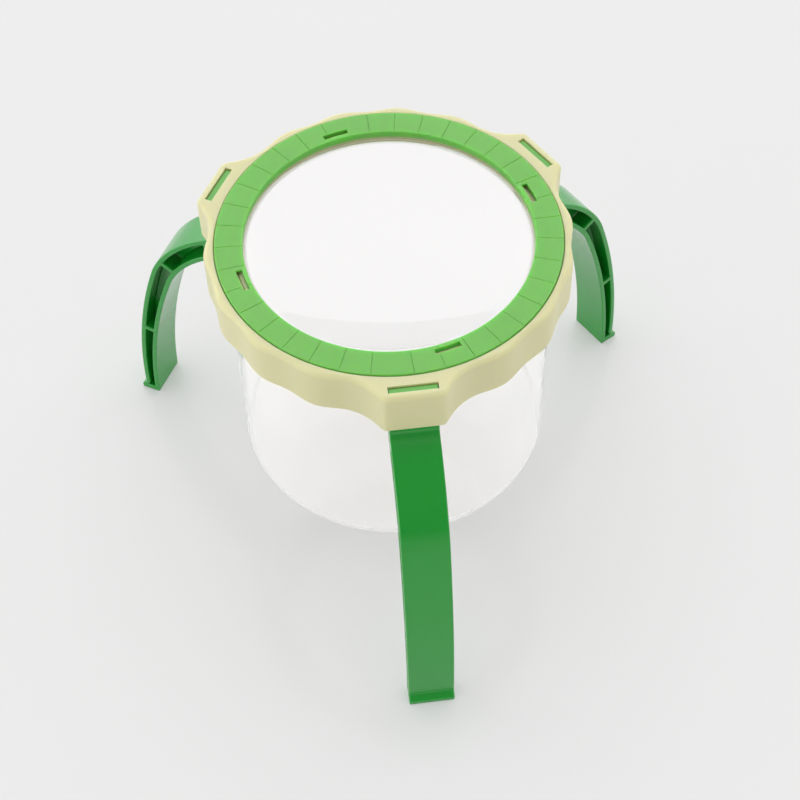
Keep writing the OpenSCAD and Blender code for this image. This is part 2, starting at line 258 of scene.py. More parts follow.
def smooth(obj, angle):
    """Smooth shading that stays sharp at real edges, and flat on flat faces."""
    obj.data.shade_smooth()
    obj.data.set_sharp_from_angle(angle=math.radians(angle))
    even = obj.modifiers.new("Even", "WEIGHTED_NORMAL")
    even.keep_sharp = True
    even.weight = 50
    return plain(obj)


def dress(obj, material, body, node, place=True):
    """Moves a finished piece to the axis, gives it its material and ties it to its CAD node."""
    if place:
        obj.data.transform(Matrix.Translation((0, AXIS_Y * MM, 0)))
    obj.data.materials.clear()
    obj.data.materials.append(material)
    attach(obj, body)
    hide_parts(node)
    return obj


# Node trees: one repeats a piece round the axis, the other gives the lid its outline

def socket(tree, name, kind, way="INPUT"):
    return tree.interface.new_socket(name, in_out=way, socket_type=kind)


def run_tree(obj, tree, values):
    """Puts a tree on an object, sets its named inputs and makes the result plain."""
    change = obj.modifiers.new("Tree", "NODES")
    change.node_group = tree
    for item in tree.interface.items_tree:
        if item.in_out == "INPUT" and item.name in values:
            change[item.identifier] = values[item.name]
    return plain(obj)


def repeat_tree():
    """Copies a piece round the axis: a count, a first angle and a pitch."""
    tree = bpy.data.node_groups.new("Repeat round the axis", "GeometryNodeTree")
    socket(tree, "Geometry", "NodeSocketGeometry")
    socket(tree, "Count", "NodeSocketInt")
    socket(tree, "First angle", "NodeSocketFloat")
    socket(tree, "Pitch", "NodeSocketFloat")
    socket(tree, "Material", "NodeSocketMaterial")
    socket(tree, "Geometry", "NodeSocketGeometry", "OUTPUT")
    given = add(tree, "NodeGroupInput")
    points = add(tree, "GeometryNodePoints", {"Count": given.outputs["Count"]})
    index = add(tree, "GeometryNodeInputIndex")
    turned = add(tree, "ShaderNodeMath", {
        0: index.outputs[0], 1: given.outputs["Pitch"], 2: given.outputs["First angle"]},
        operation="MULTIPLY_ADD")
    turn = add(tree, "ShaderNodeCombineXYZ", {"Z": turned.outputs[0]})
    copies = add(tree, "GeometryNodeInstanceOnPoints", {
        "Points": points.outputs[0], "Instance": given.outputs["Geometry"],
        "Rotation": turn.outputs[0]})
    real = add(tree, "GeometryNodeRealizeInstances", {0: copies.outputs[0]})
    dressed = add(tree, "GeometryNodeSetMaterial", {
        "Geometry": real.outputs[0], "Material": given.outputs["Material"]})
    add(tree, "NodeGroupOutput", {0: dressed.outputs[0]})
    return tree


def lid_outline_tree():
    """Pushes the lid's outer wall out to its rule: waves, with hollow-sided lugs over the legs."""
    tree = bpy.data.node_groups.new("Lid outline", "GeometryNodeTree")
    socket(tree, "Geometry", "NodeSocketGeometry")
    for name in ("Dip radius", "Wave height", "Wave turns", "Dip angle", "Lug radius", "Flare radius",
                 "Flare distance", "Flare angle", "Lug pitch", "Front angle", "Softness"):
        socket(tree, name, "NodeSocketFloat")
    socket(tree, "Material", "NodeSocketMaterial")
    socket(tree, "Geometry", "NodeSocketGeometry", "OUTPUT")
    given = add(tree, "NodeGroupInput")

    def math_of(operation, *values):
        made = add(tree, "ShaderNodeMath", dict(enumerate(values)), operation=operation)
        return made.outputs[0]

    size = given.outputs
    place = add(tree, "ShaderNodeSeparateXYZ", {0: add(tree, "GeometryNodeInputPosition").outputs[0]})
    angle = math_of("ARCTAN2", place.outputs["Y"], place.outputs["X"])
    from_front = math_of("SUBTRACT", angle, size["Front angle"])
    from_lug = math_of("PINGPONG", from_front, math_of("MULTIPLY", size["Lug pitch"], 0.5))
    flat = math_of("DIVIDE", size["Lug radius"], math_of("COSINE", from_lug))
    to_flare = math_of("SUBTRACT", from_lug, size["Flare angle"])
    side = math_of("MULTIPLY", size["Flare distance"], math_of("SINE", to_flare))
    inside = math_of(
        "SUBTRACT", math_of("POWER", size["Flare radius"], 2.0), math_of("POWER", side, 2.0))
    flare = math_of(
        "SUBTRACT", math_of("MULTIPLY", size["Flare distance"], math_of("COSINE", to_flare)),
        math_of("SQRT", math_of("MAXIMUM", inside, 0.0)))
    lug = math_of("SMOOTH_MIN", flat, flare, size["Softness"])
    swing = math_of("COSINE", math_of(
        "MULTIPLY", math_of("SUBTRACT", from_lug, size["Dip angle"]), size["Wave turns"]))
    half_wave = math_of("MULTIPLY", size["Wave height"], 0.5)
    rise = math_of("MULTIPLY", math_of("SUBTRACT", 1.0, swing), half_wave)
    wave = math_of("ADD", size["Dip radius"], rise)
    near_lug = math_of("LESS_THAN", from_lug, size["Dip angle"])
    outline = add(tree, "ShaderNodeMix", {0: near_lug, 2: wave, 3: lug}, data_type="FLOAT")
    push = math_of("SUBTRACT", outline.outputs[0], size["Dip radius"])
    away = add(tree, "ShaderNodeCombineXYZ", {
        "X": math_of("COSINE", angle), "Y": math_of("SINE", angle)})
    offset = add(tree, "ShaderNodeVectorMath", {0: away.outputs[0], "Scale": push}, operation="SCALE")
    outer = add(tree, "GeometryNodeInputNamedAttribute", {"Name": "outer"}, data_type="BOOLEAN")
    moved = add(tree, "GeometryNodeSetPosition", {
        "Geometry": size["Geometry"], "Selection": outer.outputs[0], "Offset": offset.outputs[0]})
    real = add(tree, "GeometryNodeRealizeInstances", {0: moved.outputs[0]})
    dressed = add(tree, "GeometryNodeSetMaterial", {
        "Geometry": real.outputs[0], "Material": size["Material"]})
    add(tree, "NodeGroupOutput", {0: dressed.outputs[0]})
    return tree


REPEAT = repeat_tree()


def repeated(name, mesh, count, first, pitch):
    """The piece copied round the axis, as one plain mesh."""
    return run_tree(new_object(name, mesh), REPEAT, {
        "Count": count, "First angle": math.radians(FRONT + first), "Pitch": math.radians(pitch)})


def arc_degrees(length, radius):
    return math.degrees(length / radius)


def bar(name, section, length, radius, steps=12):
    """A short bar bent round the axis and centred on the X axis."""
    half = arc_degrees(length, radius) / 2
    return revolve(name, section, -half, 2 * half, steps)


def box_mesh(name, low, high):
    corners = [(x, y, z) for z in (low[2], high[2]) for y in (low[1], high[1])
               for x in (low[0], high[0])]
    faces = [(0, 1, 3, 2), (4, 5, 7, 6), (0, 1, 5, 4), (2, 3, 7, 6), (0, 2, 6, 4), (1, 3, 7, 5)]
    return make_mesh(name, corners, faces)


# Materials

def material(name):
    made = bpy.data.materials.new(name)
    made.use_nodes = True
    made.node_tree.nodes.clear()
    return made, made.node_tree


def moulded(name, deep, pale, ior, roughness, grain_mm, grain_depth_mm, glow, glow_mm, glow_way,
            paler_top=None):
    """Solid coloured plastic from a polished steel mould.

    A slow drift between two near colours is the pigment's flow, and the bump is the mould's fine
    texture, which breaks up the edges of reflections. The glow is the light that goes into the
    plastic and comes out near by. The last colour, if given, is a paler colour that the surface
    takes on by height, near the top of the lid, where only the tongues' tops reach.
    """
    flow_mm, rough_drift, paler_top_from, paler_top_full = 35.0, 0.05, LID_TOP - 5.0, LID_TOP - 1.5
    made, tree = material(name)
    where = add(tree, "ShaderNodeTexCoord")
    flow = add(tree, "ShaderNodeTexNoise", {
        "Vector": where.outputs["Object"], "Scale": 1 / (flow_mm * MM), "Detail": 3.0,
        "Roughness": 0.5})
    mix = add(tree, "ShaderNodeMix", {0: flow.outputs["Fac"], 6: linear(deep), 7: linear(pale)},
              data_type="RGBA")
    # Paler towards the top: blends to the last colour from 5 mm to 1.5 mm under the lid's top, which
    # only the tongues reach
    if paler_top:
        place = add(tree, "ShaderNodeSeparateXYZ", {0: where.outputs["Object"]})
        high = add(tree, "ShaderNodeMapRange", {
            "Value": place.outputs["Z"], "From Min": paler_top_from * MM, "From Max": paler_top_full * MM})
        mix = add(tree, "ShaderNodeMix", {0: high.outputs[0], 6: mix.outputs[2], 7: linear(paler_top)},
                  data_type="RGBA")
    grain = add(tree, "ShaderNodeTexNoise", {
        "Vector": where.outputs["Object"], "Scale": 1 / (grain_mm * MM), "Detail": 2.0})
    rough = add(tree, "ShaderNodeMapRange", {
        "Value": grain.outputs["Fac"], "To Min": roughness - rough_drift,
        "To Max": roughness + rough_drift})
    bump = add(tree, "ShaderNodeBump", {
        "Height": grain.outputs["Fac"], "Distance": grain_depth_mm * MM, "Strength": 1.0})
    shader = add(tree, "ShaderNodeBsdfPrincipled", {
        "Base Color": mix.outputs[2], "Roughness": rough.outputs[0], "Normal": bump.outputs[0],
        "IOR": ior, "Subsurface Weight": glow, "Subsurface Scale": glow_mm * MM,
        "Subsurface Radius": glow_way})
    add(tree, "ShaderNodeOutputMaterial", {"Surface": shader.outputs[0]})
    return made


def clear(name, tint, ior, roughness, wave_mm, wave_depth_mm, haze, milk, matt_share, radii, heights):
    """Clear moulded plastic: nearly colourless, with the faint swell that a mould leaves.

    Light that falls through it to other surfaces goes straight on, so its shadow stays pale, and
    the haze is the light that clear plastic gathers inside its walls. The mould leaves one part
    fine matt, which gathers more: the matt share grows from radius to radius and from height to
    height, in millimetres.
    """
    light_through = 0.75
    made, tree = material(name)
    where = add(tree, "ShaderNodeTexCoord")
    swell = add(tree, "ShaderNodeTexNoise", {
        "Vector": where.outputs["Object"], "Scale": 1 / (wave_mm * MM), "Detail": 1.0})
    bump = add(tree, "ShaderNodeBump", {
        "Height": swell.outputs["Fac"], "Distance": wave_depth_mm * MM, "Strength": 1.0})
    shader = add(tree, "ShaderNodeBsdfPrincipled", {
        "Base Color": linear(tint), "Roughness": roughness, "Normal": bump.outputs[0],
        "IOR": ior, "Transmission Weight": 1.0})
    place = add(tree, "ShaderNodeSeparateXYZ", {0: where.outputs["Object"]})
    level = add(tree, "ShaderNodeCombineXYZ", {"X": place.outputs["X"], "Y": place.outputs["Y"]})
    from_axis = add(tree, "ShaderNodeVectorMath", {
        0: level.outputs[0], 1: (0, AXIS_Y * MM, 0)}, operation="DISTANCE")
    outer = add(tree, "ShaderNodeMapRange", {
        "Value": from_axis.outputs["Value"], "From Min": radii[0] * MM, "From Max": radii[1] * MM},
        interpolation_type="SMOOTHSTEP")
    low = add(tree, "ShaderNodeMapRange", {
        "Value": place.outputs["Z"], "From Min": heights[0] * MM, "From Max": heights[1] * MM},
        interpolation_type="SMOOTHSTEP")
    corner = add(tree, "ShaderNodeMath", {0: outer.outputs[0], 1: low.outputs[0]}, operation="MULTIPLY")
    matt = add(tree, "ShaderNodeMath", {0: corner.outputs[0], 1: matt_share}, operation="MULTIPLY")
    veil = add(tree, "ShaderNodeBsdfDiffuse", {"Color": [haze] * 3 + [1.0]})
    hazy = add(tree, "ShaderNodeAddShader", {0: shader.outputs[0], 1: veil.outputs[0]})
    front_side = add(tree, "ShaderNodeBsdfDiffuse", {"Color": linear(milk)})
    far_side = add(tree, "ShaderNodeBsdfTranslucent", {"Color": linear(milk)})
    milky = add(tree, "ShaderNodeMixShader", {
        0: light_through, 1: front_side.outputs[0], 2: far_side.outputs[0]})
    surface = add(tree, "ShaderNodeMixShader", {
        0: matt.outputs[0], 1: hazy.outputs[0], 2: milky.outputs[0]})
    path = add(tree, "ShaderNodeLightPath")
    through = add(tree, "ShaderNodeMath", {
        0: path.outputs["Is Shadow Ray"], 1: path.outputs["Is Diffuse Ray"]}, operation="MAXIMUM")
    passed = add(tree, "ShaderNodeBsdfTransparent", {"Color": linear("#f6f5f5")})
    both = add(tree, "ShaderNodeMixShader", {
        0: through.outputs[0], 1: surface.outputs[0], 2: passed.outputs[0]})
    add(tree, "ShaderNodeOutputMaterial", {"Surface": both.outputs[0]})
    return made


# Cream ABS, satin: a soft warm white-yellow that lets a little light in at its edges
CREAM = moulded(
    "Cream ABS satin", deep="#d9d5a5", pale="#dedaac", ior=1.53, roughness=0.42,
    grain_mm=0.9, grain_depth_mm=0.006, glow=0.6, glow_mm=3.0, glow_way=(1.0, 0.9, 0.4))
# Light green ABS, satin: a fresh yellow-green with soft reflections
LIGHT_GREEN = moulded(
    "Light green ABS satin", deep="#70bc50", pale="#76c256", ior=1.53, roughness=0.38,
    grain_mm=0.7, grain_depth_mm=0.006, glow=1.0, glow_mm=4.5, glow_way=(0.25, 1.0, 0.08))
# Leaf green ABS, polished: deeper and glossier, with clean pale reflections, and paler tongue tops
LEAF_GREEN = moulded(
    "Leaf green ABS polished", deep="#109529", pale="#149b2f", ior=1.6, roughness=0.18,
    grain_mm=1.2, grain_depth_mm=0.002, glow=0.25, glow_mm=1.5, glow_way=(0.1, 1.0, 0.2),
    paler_top="#66b84c")
# Clear polystyrene, polished and thin: pale walls and a white line round the foot's matt corner
JAR_CLEAR = clear(
    "Clear polystyrene jar", tint="#fdfcfc", ior=1.17, roughness=0.03, wave_mm=30.0,
    wave_depth_mm=0.01, haze=0.058, milk="#f8f8f7", matt_share=0.4,
    radii=(JAR_R - 1.9, JAR_R - 0.9), heights=(JAR_BASE + 1.8, JAR_BASE + 0.7))
# Clear polystyrene lens: cleaner than the jar, with a fine matt flange where it is held
LENS_CLEAR = clear(
    "Clear polystyrene lens", tint="#f9f8f9", ior=1.58, roughness=0.0, wave_mm=60.0,
    wave_depth_mm=0.0, haze=0.002, milk="#f8f5e6", matt_share=0.8,
    radii=(LENS_R - 3.0, LENS_R - 0.6), heights=(LID_TOP + 20.0, LID_TOP + 10.0))


# Lid ring

def lid_section():
    """The lid ring's section: its outer wall, which later gets its waves, and its round bore."""
    top_edge, low_edge, chamfer, lip_slope = TOP_EDGE, 1.0, 0.2, 1.3
    outer = []
    for k in range(CORNER_STEPS + 1):
        a = math.radians(90 * k / CORNER_STEPS)
        outer.append((DIP_R - top_edge * (1 - math.sin(a)), LID_TOP - top_edge * (1 - math.cos(a))))
    for k in range(CORNER_STEPS + 1):
        a = math.radians(90 * k / CORNER_STEPS)
        outer.append((DIP_R - low_edge * (1 - math.cos(a)), STAND_H + low_edge * (1 - math.sin(a))))
    bore = [
        (SKIRT_R + chamfer, STAND_H), (SKIRT_R, STAND_H + chamfer), (SKIRT_R, DECK_Z),
        (LIP_R + lip_slope, DECK_Z), (LIP_R, LENS_FLOOR), (POCKET_R, LENS_FLOOR),
        (POCKET_R, LENS_WALL_TOP), (LENS_WALL_R, LENS_WALL_TOP), (LENS_WALL_R, SEAT_Z), (SEAT_R, SEAT_Z),
        (SEAT_R, LID_TOP - chamfer), (SEAT_R + chamfer, LID_TOP)]
    return outer, bore


def build_lid():
    outer, bore = lid_section()
    lid = new_object("lid_body", revolve("lid_body", outer + bore))
    mark = lid.data.attributes.new("outer", "BOOLEAN", "POINT")
    wall_from = (DIP_R - TOP_EDGE - 0.1) * MM
    for i, v in enumerate(lid.data.vertices):
        mark.data[i].value = v.co.to_2d().length > wall_from
    half = LUG_W / 2
    corner = Vector((LUG_R, half))
    dip = Vector((DIP_R * math.cos(math.radians(DIP_ANGLE)), DIP_R * math.sin(math.radians(DIP_ANGLE))))
    chord = (dip - corner).length
    flare_r = ((chord / 2) ** 2 + LUG_HOLLOW ** 2) / (2 * LUG_HOLLOW)
    along = (dip - corner).normalized()
    middle = (corner + dip) / 2 - Vector((-along.y, along.x)) * (flare_r - LUG_HOLLOW)
    run_tree(lid, lid_outline_tree(), {
        "Dip radius": DIP_R * MM, "Wave height": WAVE_H * MM, "Wave turns": 18.0,
        "Dip angle": math.radians(DIP_ANGLE), "Lug radius": LUG_R * MM, "Flare radius": flare_r * MM,
        "Flare distance": middle.length * MM, "Flare angle": math.atan2(middle.y, middle.x),
        "Lug pitch": math.radians(LEG_PITCH), "Front angle": math.radians(FRONT), "Softness": 3.2 * MM,
        "Material": CREAM})
    slot_half_t, slot_half_w, over = TONGUE_T / 2 + SLOT_GAP, TONGUE_W / 2 + SLOT_GAP, 2.0
    slot = box_mesh("slot", (TONGUE_R - slot_half_t, -slot_half_w, STAND_H - over),
                    (TONGUE_R + slot_half_t, slot_half_w, LID_TOP + over))
    combine(lid, repeated("slots", slot, LEGS, 0.0, LEG_PITCH), "DIFFERENCE")
    ledge_z, way_top = DECK_Z + 1.8, SEAT_Z + 0.5
    way = bar("hook_way", [
        (STEP_R, DECK_Z - over), (HOOK_WAY_R, DECK_Z - over), (HOOK_WAY_R, ledge_z),
        (HOOK_SHOULDER_R, ledge_z), (HOOK_SHOULDER_R, way_top), (STEP_R, way_top)],
        HOOK_W + 2 * HOOK_GAP, HOOK_SHOULDER_R)
    combine(lid, repeated("hook_ways", way, WINDOWS, WINDOW_FIRST, WINDOW_PITCH), "DIFFERENCE")
    entry_room, free_turn, stop_w = 1.2, 30.0, 1.6
    tab_half = arc_degrees(TAB_W, JAR_R + TAB_REACH) / 2
    entry_half = tab_half + arc_degrees(entry_room, CATCH_R)
    stop_from = tab_half + arc_degrees(CATCH_GAP, SKIRT_R)
    root_r = SKIRT_R + 1
    ledge = revolve("catch", [
        (CATCH_R, CATCH_TOP - CATCH_T), (root_r, CATCH_TOP - CATCH_T), (root_r, CATCH_TOP),
        (CATCH_R, CATCH_TOP)], free_turn + entry_half - LEG_PITCH, LEG_PITCH - 2 * entry_half, 120)
    combine(lid, repeated("catches", ledge, LEGS, 0.0, LEG_PITCH), "UNION")
    stop_sweep, stop_root_r, stop_low = arc_degrees(stop_w, SKIRT_R), SKIRT_R + 0.5, CATCH_TOP - 0.5
    stop = revolve("stop", [
        (CATCH_R, stop_low), (stop_root_r, stop_low), (stop_root_r, TAB_TOP),
        (CATCH_R, TAB_TOP)], -stop_from - stop_sweep, stop_sweep, 4)
    combine(lid, repeated("stops", stop, LEGS, 0.0, LEG_PITCH), "UNION")
    smooth(lid, 32)
    return dress(lid, CREAM, "lid", "lid_ring")


# Bezel

def build_bezel():
    top, low = BEZEL_TOP, SEAT_Z
    skirt_t, outer_edge, view_edge = 1.5, 0.45, 0.4
    section = rounded([
        (VIEW_R, low), (LENS_R, low), (LENS_R, top - SKIN_T), (STEP_R, top - SKIN_T), (STEP_R, low),
        (BAND_R, low), (BAND_R, top - skirt_t), (BEZEL_R - skirt_t, top - skirt_t),
        (BEZEL_R - skirt_t, low), (BEZEL_R, low), (BEZEL_R, top), (VIEW_R, top)],
        [0, 0, 0, 0, 0, 0, 0, 0, 0, 0, outer_edge, view_edge], 4)
    ring = new_object("bezel_ring", revolve("bezel_ring", section))
    groove_w, groove_d, over = 0.38, 0.28, 1.0
    above = top + 0.2
    groove = make_mesh("groove", [
        (r, side * w / 2, z) for r in (VIEW_R - over, BEZEL_R + over)
        for side, w, z in ((-1, groove_w, above), (1, groove_w, above),
                           (1, groove_w / 2, top - groove_d), (-1, groove_w / 2, top - groove_d))],
        [(0, 1, 2, 3), (7, 6, 5, 4), (0, 4, 5, 1), (1, 5, 6, 2), (2, 6, 7, 3), (3, 7, 4, 0)])
    groove_pitch = 10.0
    for first, count in ((1.0, 19), (197.5, 16)):
        combine(ring, repeated("grooves", groove.copy(), count, first, groove_pitch), "DIFFERENCE")
    window = bar("window", [
        (WINDOW_IN_R, low - over), (WINDOW_OUT_R, low - over), (WINDOW_OUT_R, top + over),
        (WINDOW_IN_R, top + over)], WINDOW_W, WINDOW_OUT_R)
    combine(ring, repeated("windows", window, WINDOWS, WINDOW_FIRST, WINDOW_PITCH), "DIFFERENCE")
    hook_in, hook_root = STEP_R + HOOK_GAP, low + 1
    hook_out, nose_top = hook_in + HOOK_T, DECK_Z + 1.6
    nose_out = hook_out + HOOK_NOSE
    hook = bar("hook", [
        (hook_in, nose_top - NOSE_T), (nose_out, nose_top - NOSE_T), (nose_out, nose_top),
        (hook_out, nose_top), (hook_out, hook_root), (hook_in, hook_root)], HOOK_W, hook_out)
    combine(ring, repeated("hooks", hook, WINDOWS, WINDOW_FIRST, WINDOW_PITCH), "UNION")
    smooth(ring, 32)
    return dress(ring, LIGHT_GREEN, "lid", "bezel")


# Lens and jar

def build_lens():
    dome_r, dome_h, steps = 47.6, 2.2, 24
    sphere = (dome_r ** 2 + dome_h ** 2) / (2 * dome_h)
    sweep = math.asin(dome_r / sphere)
    dome = []
    for k in range(steps + 1):
        a = sweep * (1 - k / steps)
        dome.append((sphere * math.sin(a), dome_h - sphere + sphere * math.cos(a)))
    dome[-1] = (0.0, dome_h)
    edge = 0.25
    section = [(LENS_R - edge, LENS_FLOOR), (LENS_R, LENS_FLOOR + edge), (LENS_R, SEAT_Z - edge),
               (LENS_R - edge, SEAT_Z)]
    section += [(r, SEAT_Z + h) for r, h in dome]
    section += [(r, LENS_FLOOR - h) for r, h in reversed(dome)]
    lens = new_object("lens_glass", revolve("lens_glass", section, steps=256))
    smooth(lens, 20)
    return dress(lens, LENS_CLEAR, "lid", "lens")


def build_jar():
    inner = JAR_R - JAR_WALL
    foot_in, centre_in, rise = JAR_R - 4.8, JAR_R - 16.0, 0.8
    base, top, floor_z = JAR_BASE, JAR_TOP, JAR_BASE + 1.6
    section = rounded([
        (foot_in, base), (JAR_R, base), (JAR_R, top), (inner, top), (inner, floor_z),
        (centre_in, floor_z + rise), (0, floor_z + rise), (0, base + rise), (centre_in, base + rise)],
        [20.0, 2.6, 0.3, 0.3, 1.6, 80.0, 0, 0, 80.0], 8)
    jar = new_object("jar_shell", revolve("jar_shell", section, steps=384))
    tab_root, tab_end = JAR_R - 0.9, JAR_R + TAB_REACH
    tab = bar("tab", rounded([
        (tab_root, TAB_LOW), (tab_end, TAB_LOW), (tab_end, TAB_TOP), (tab_root, TAB_TOP)],
        [0, 0.3, 0.3, 0], 3), TAB_W, tab_end)
    combine(jar, repeated("tabs", tab, LEGS, 0.0, LEG_PITCH), "UNION")
    smooth(jar, 25)
    return dress(jar, JAR_CLEAR, "jar", "jar")


# Legs

def bow(a, b, height, share):
    """Point and outward normal on a shallow arc from a to b."""
    chord = b - a
    radius = ((chord.length / 2) ** 2 + height ** 2) / (2 * height)
    angle = math.asin(chord.length / 2 / radius) * (2 * share - 1)
    along = chord.normalized()
    out = Vector((-along.y, along.x))
    lift = radius * math.cos(angle) - radius + height
    point = (a + b) / 2 + along * radius * math.sin(angle) + out * lift
    return point, out * math.cos(angle) + along * math.sin(angle)


def with_rib(shares, rib, length, room):
    """Adds a rib's two sides to the shares along a stretch, and drops the shares too near it."""
    half = RIB_T / 2 / length
    return sorted([u for u in shares if abs(u - rib) > room] + [rib - half, rib + half])


def leg_stations():
    """Cross lines of the leg from neck to sole: four places from the outer face to the inner, and
    whether the stretch up to the next line is hollow."""
    rows = []
    for past, outer_z, inner_r, inner_z in (
            (0, STAND_H, NECK_IN_R, STAND_H), (0, 108.2, 60.35, 106.0), (0.1, 107.1, 60.28, 103.5),
            (0.5, 106.2, 60.2, 101.0), (1.3, 105.65, 60.14, 98.7)):
        rows.append((Vector((NECK_OUT_R + past, outer_z)), Vector((inner_r, inner_z)), False))
    arm_rib, shin_rib, solid_to = 0.84, 0.48, 0.155
    arm_len, shin_len, shin_end_h = 37.2, 79.2, TOE_H + 1.5
    arm = with_rib([0.11, 0.16] + [k / 12 for k in range(3, 12)], arm_rib, arm_len, 0.01)
    shin = with_rib([k / 24 for k in range(1, 23)], shin_rib, shin_len, 0.011)
    for u in arm:
        p, out = bow(HIP, KNEE, ARM_BOW, u)
        depth = ARM_DEPTH + (KNEE_DEPTH - ARM_DEPTH) * u
        solid = u < solid_to or abs(u - (arm_rib - RIB_T / 2 / arm_len)) < 1e-6
        rows.append((p + out * depth / 2, p - out * depth / 2, not solid))
    end_out = (bow(HIP, KNEE, ARM_BOW, 1)[1] + bow(KNEE, FOOT, SHIN_BOW, 0)[1]).normalized()
    rows.append((KNEE + end_out * KNEE_DEPTH / 2, KNEE - end_out * KNEE_DEPTH / 2, True))
    for u in shin:
        p, out = bow(KNEE, FOOT, SHIN_BOW, u)
        depth = KNEE_DEPTH + (FOOT_DEPTH - KNEE_DEPTH) * u
        solid = abs(u - (shin_rib - RIB_T / 2 / shin_len)) < 1e-6
        if p.y > shin_end_h:
            rows.append((p + out * depth / 2, p - out * depth / 2, not solid))
    inner_foot, outer_foot = FOOT.x - FOOT_DEPTH / 2, FOOT.x + FOOT_DEPTH / 2
    rows.append((Vector((outer_foot - 0.1, TOE_H)), Vector((inner_foot - 0.2, TOE_H)), True))
    rows.append((Vector((outer_foot + 0.9, 3.0)), Vector((inner_foot - 0.1, SOLE_T)), False))
    rows.append((Vector((TOE_R, TOE_EDGE_H)), Vector((inner_foot - 0.05, 1.5)), False))
    rows.append((Vector((TOE_R, 0)), Vector((inner_foot, 0)), False))
    return rows


def leg_mesh(name):
    """The leg's solid, along X in the plane of X and Z, with hollows on both sides of its web."""
    rows = leg_stations()
    half, web, flange_most = LEG_W / 2, WEB_T / 2, 0.35
    vertices, index = [], {}

    def at(i, place, y):
        """Vertex on cross line i, at one of four places from the outer face to the inner."""
        key = (i, place, y)
        if key not in index:
            outer, inner, _ = rows[i]
            across = (inner - outer).length
            flange = min(FLANGE_T, across * flange_most)
            share = (0, flange / across, 1 - flange / across, 1)[place]
            p = outer + (inner - outer) * share
            index[key] = len(vertices)
            vertices.append((p.x, y, p.y))
        return index[key]

    faces = []
    last = len(rows) - 1
    for i in range(last):
        hollow = rows[i][2]
        faces.append((at(i, 0, half), at(i, 0, -half), at(i + 1, 0, -half), at(i + 1, 0, half)))
        faces.append((at(i, 3, half), at(i, 3, -half), at(i + 1, 3, -half), at(i + 1, 3, half)))
        before = rows[i - 1][2] if i else False
        after = rows[i + 1][2] if i + 1 < last else False
        for s in (-1, 1):
            for place in (0, 2):
                faces.append((at(i, place, s * half), at(i, place + 1, s * half),
                              at(i + 1, place + 1, s * half), at(i + 1, place, s * half)))
            y = s * (web if hollow else half)
            faces.append((at(i, 1, y), at(i, 2, y), at(i + 1, 2, y), at(i + 1, 1, y)))
            if hollow:
                for place in (1, 2):
                    faces.append((at(i, place, s * half), at(i, place, s * web),
                                  at(i + 1, place, s * web), at(i + 1, place, s * half)))
                if not before:
                    faces.append((at(i, 1, s * half), at(i, 2, s * half),
                                  at(i, 2, s * web), at(i, 1, s * web)))
                if not after:
                    faces.append((at(i + 1, 1, s * half), at(i + 1, 2, s * half),
                                  at(i + 1, 2, s * web), at(i + 1, 1, s * web)))
    for i in (0, last):
        faces.append(tuple(at(i, place, half) for place in (0, 1, 2, 3)) +
                     tuple(at(i, place, -half) for place in (3, 2, 1, 0)))
    return make_mesh(name, vertices, faces)


def soften(obj, width, angle, segments=3):
    """Rounds the real edges, as a mould does."""
    edge = obj.modifiers.new("Edges", "BEVEL")
    edge.width = width * MM
    edge.segments = segments
    edge.limit_method = "ANGLE"
    edge.angle_limit = math.radians(angle)
    edge.use_clamp_overlap = True
    return plain(obj)


def build_leg(name, azimuth):
    leg = new_object(name, leg_mesh(name))
    soften(leg, width=0.45, angle=35)
    tongue_root = STAND_H - 2
    tongue = new_object("tongue", box_mesh(
        "tongue", (TONGUE_R - TONGUE_T / 2, -TONGUE_W / 2, tongue_root),
        (TONGUE_R + TONGUE_T / 2, TONGUE_W / 2, LID_TOP - TONGUE_SHORT)))
    soften(tongue, width=0.3, angle=35, segments=2)
    combine(leg, tongue, "UNION")
    smooth(leg, 32)
    leg.data.transform(Matrix.Rotation(math.radians(azimuth), 4, "Z"))
    part = name.replace("_body", "")
    return dress(leg, LEAF_GREEN, part, part)


build_lid()
build_bezel()
build_lens()
build_jar()
for k, leg_name in enumerate(("front_leg_body", "right_leg_body", "left_leg_body")):
    build_leg(leg_name, FRONT + k * LEG_PITCH)


# Floor, light and camera

def build_floor():
    """A pale satin table that runs past the view.

    What the eye sees of it, straight or through the jar, is partly its own even white, as on an
    opal table, so the shadows stay pale. It lights nothing.
    """
    half, own_white = 20000.0, 0.3
    floor = new_object("floor", make_mesh("floor", [
        (-half, -half, 0), (half, -half, 0), (half, half, 0), (-half, half, 0)], [(0, 1, 2, 3)]))
    made, tree = material("Pale satin table")
    where = add(tree, "ShaderNodeTexCoord")
    cloud = add(tree, "ShaderNodeTexNoise", {
        "Vector": where.outputs["Object"], "Scale": 1 / (400 * MM), "Detail": 1.0})
    mix = add(tree, "ShaderNodeMix", {
        0: cloud.outputs["Fac"], 6: linear("#e6e6e6"), 7: linear("#e8e8e8")}, data_type="RGBA")
    shader = add(tree, "ShaderNodeBsdfPrincipled", {
        "Base Color": mix.outputs[2], "Roughness": 0.12, "Specular IOR Level": 0.3})
    path = add(tree, "ShaderNodeLightPath")
    mirrored = add(tree, "ShaderNodeMath", {
        0: path.outputs["Is Glossy Ray"], 1: path.outputs["Is Transmission Ray"]}, operation="MAXIMUM")
    seen = add(tree, "ShaderNodeMath", {
        0: path.outputs["Is Camera Ray"], 1: mirrored.outputs[0]}, operation="MAXIMUM")
    share = add(tree, "ShaderNodeMath", {0: seen.outputs[0], 1: own_white}, operation="MULTIPLY")
    even = add(tree, "ShaderNodeEmission", {"Color": linear("#ececec"), "Strength": 1.0})
    both = add(tree, "ShaderNodeMixShader", {
        0: share.outputs[0], 1: shader.outputs[0], 2: even.outputs[0]})
    add(tree, "ShaderNodeOutputMaterial", {"Surface": both.outputs[0]})
    floor.data.materials.append(made)


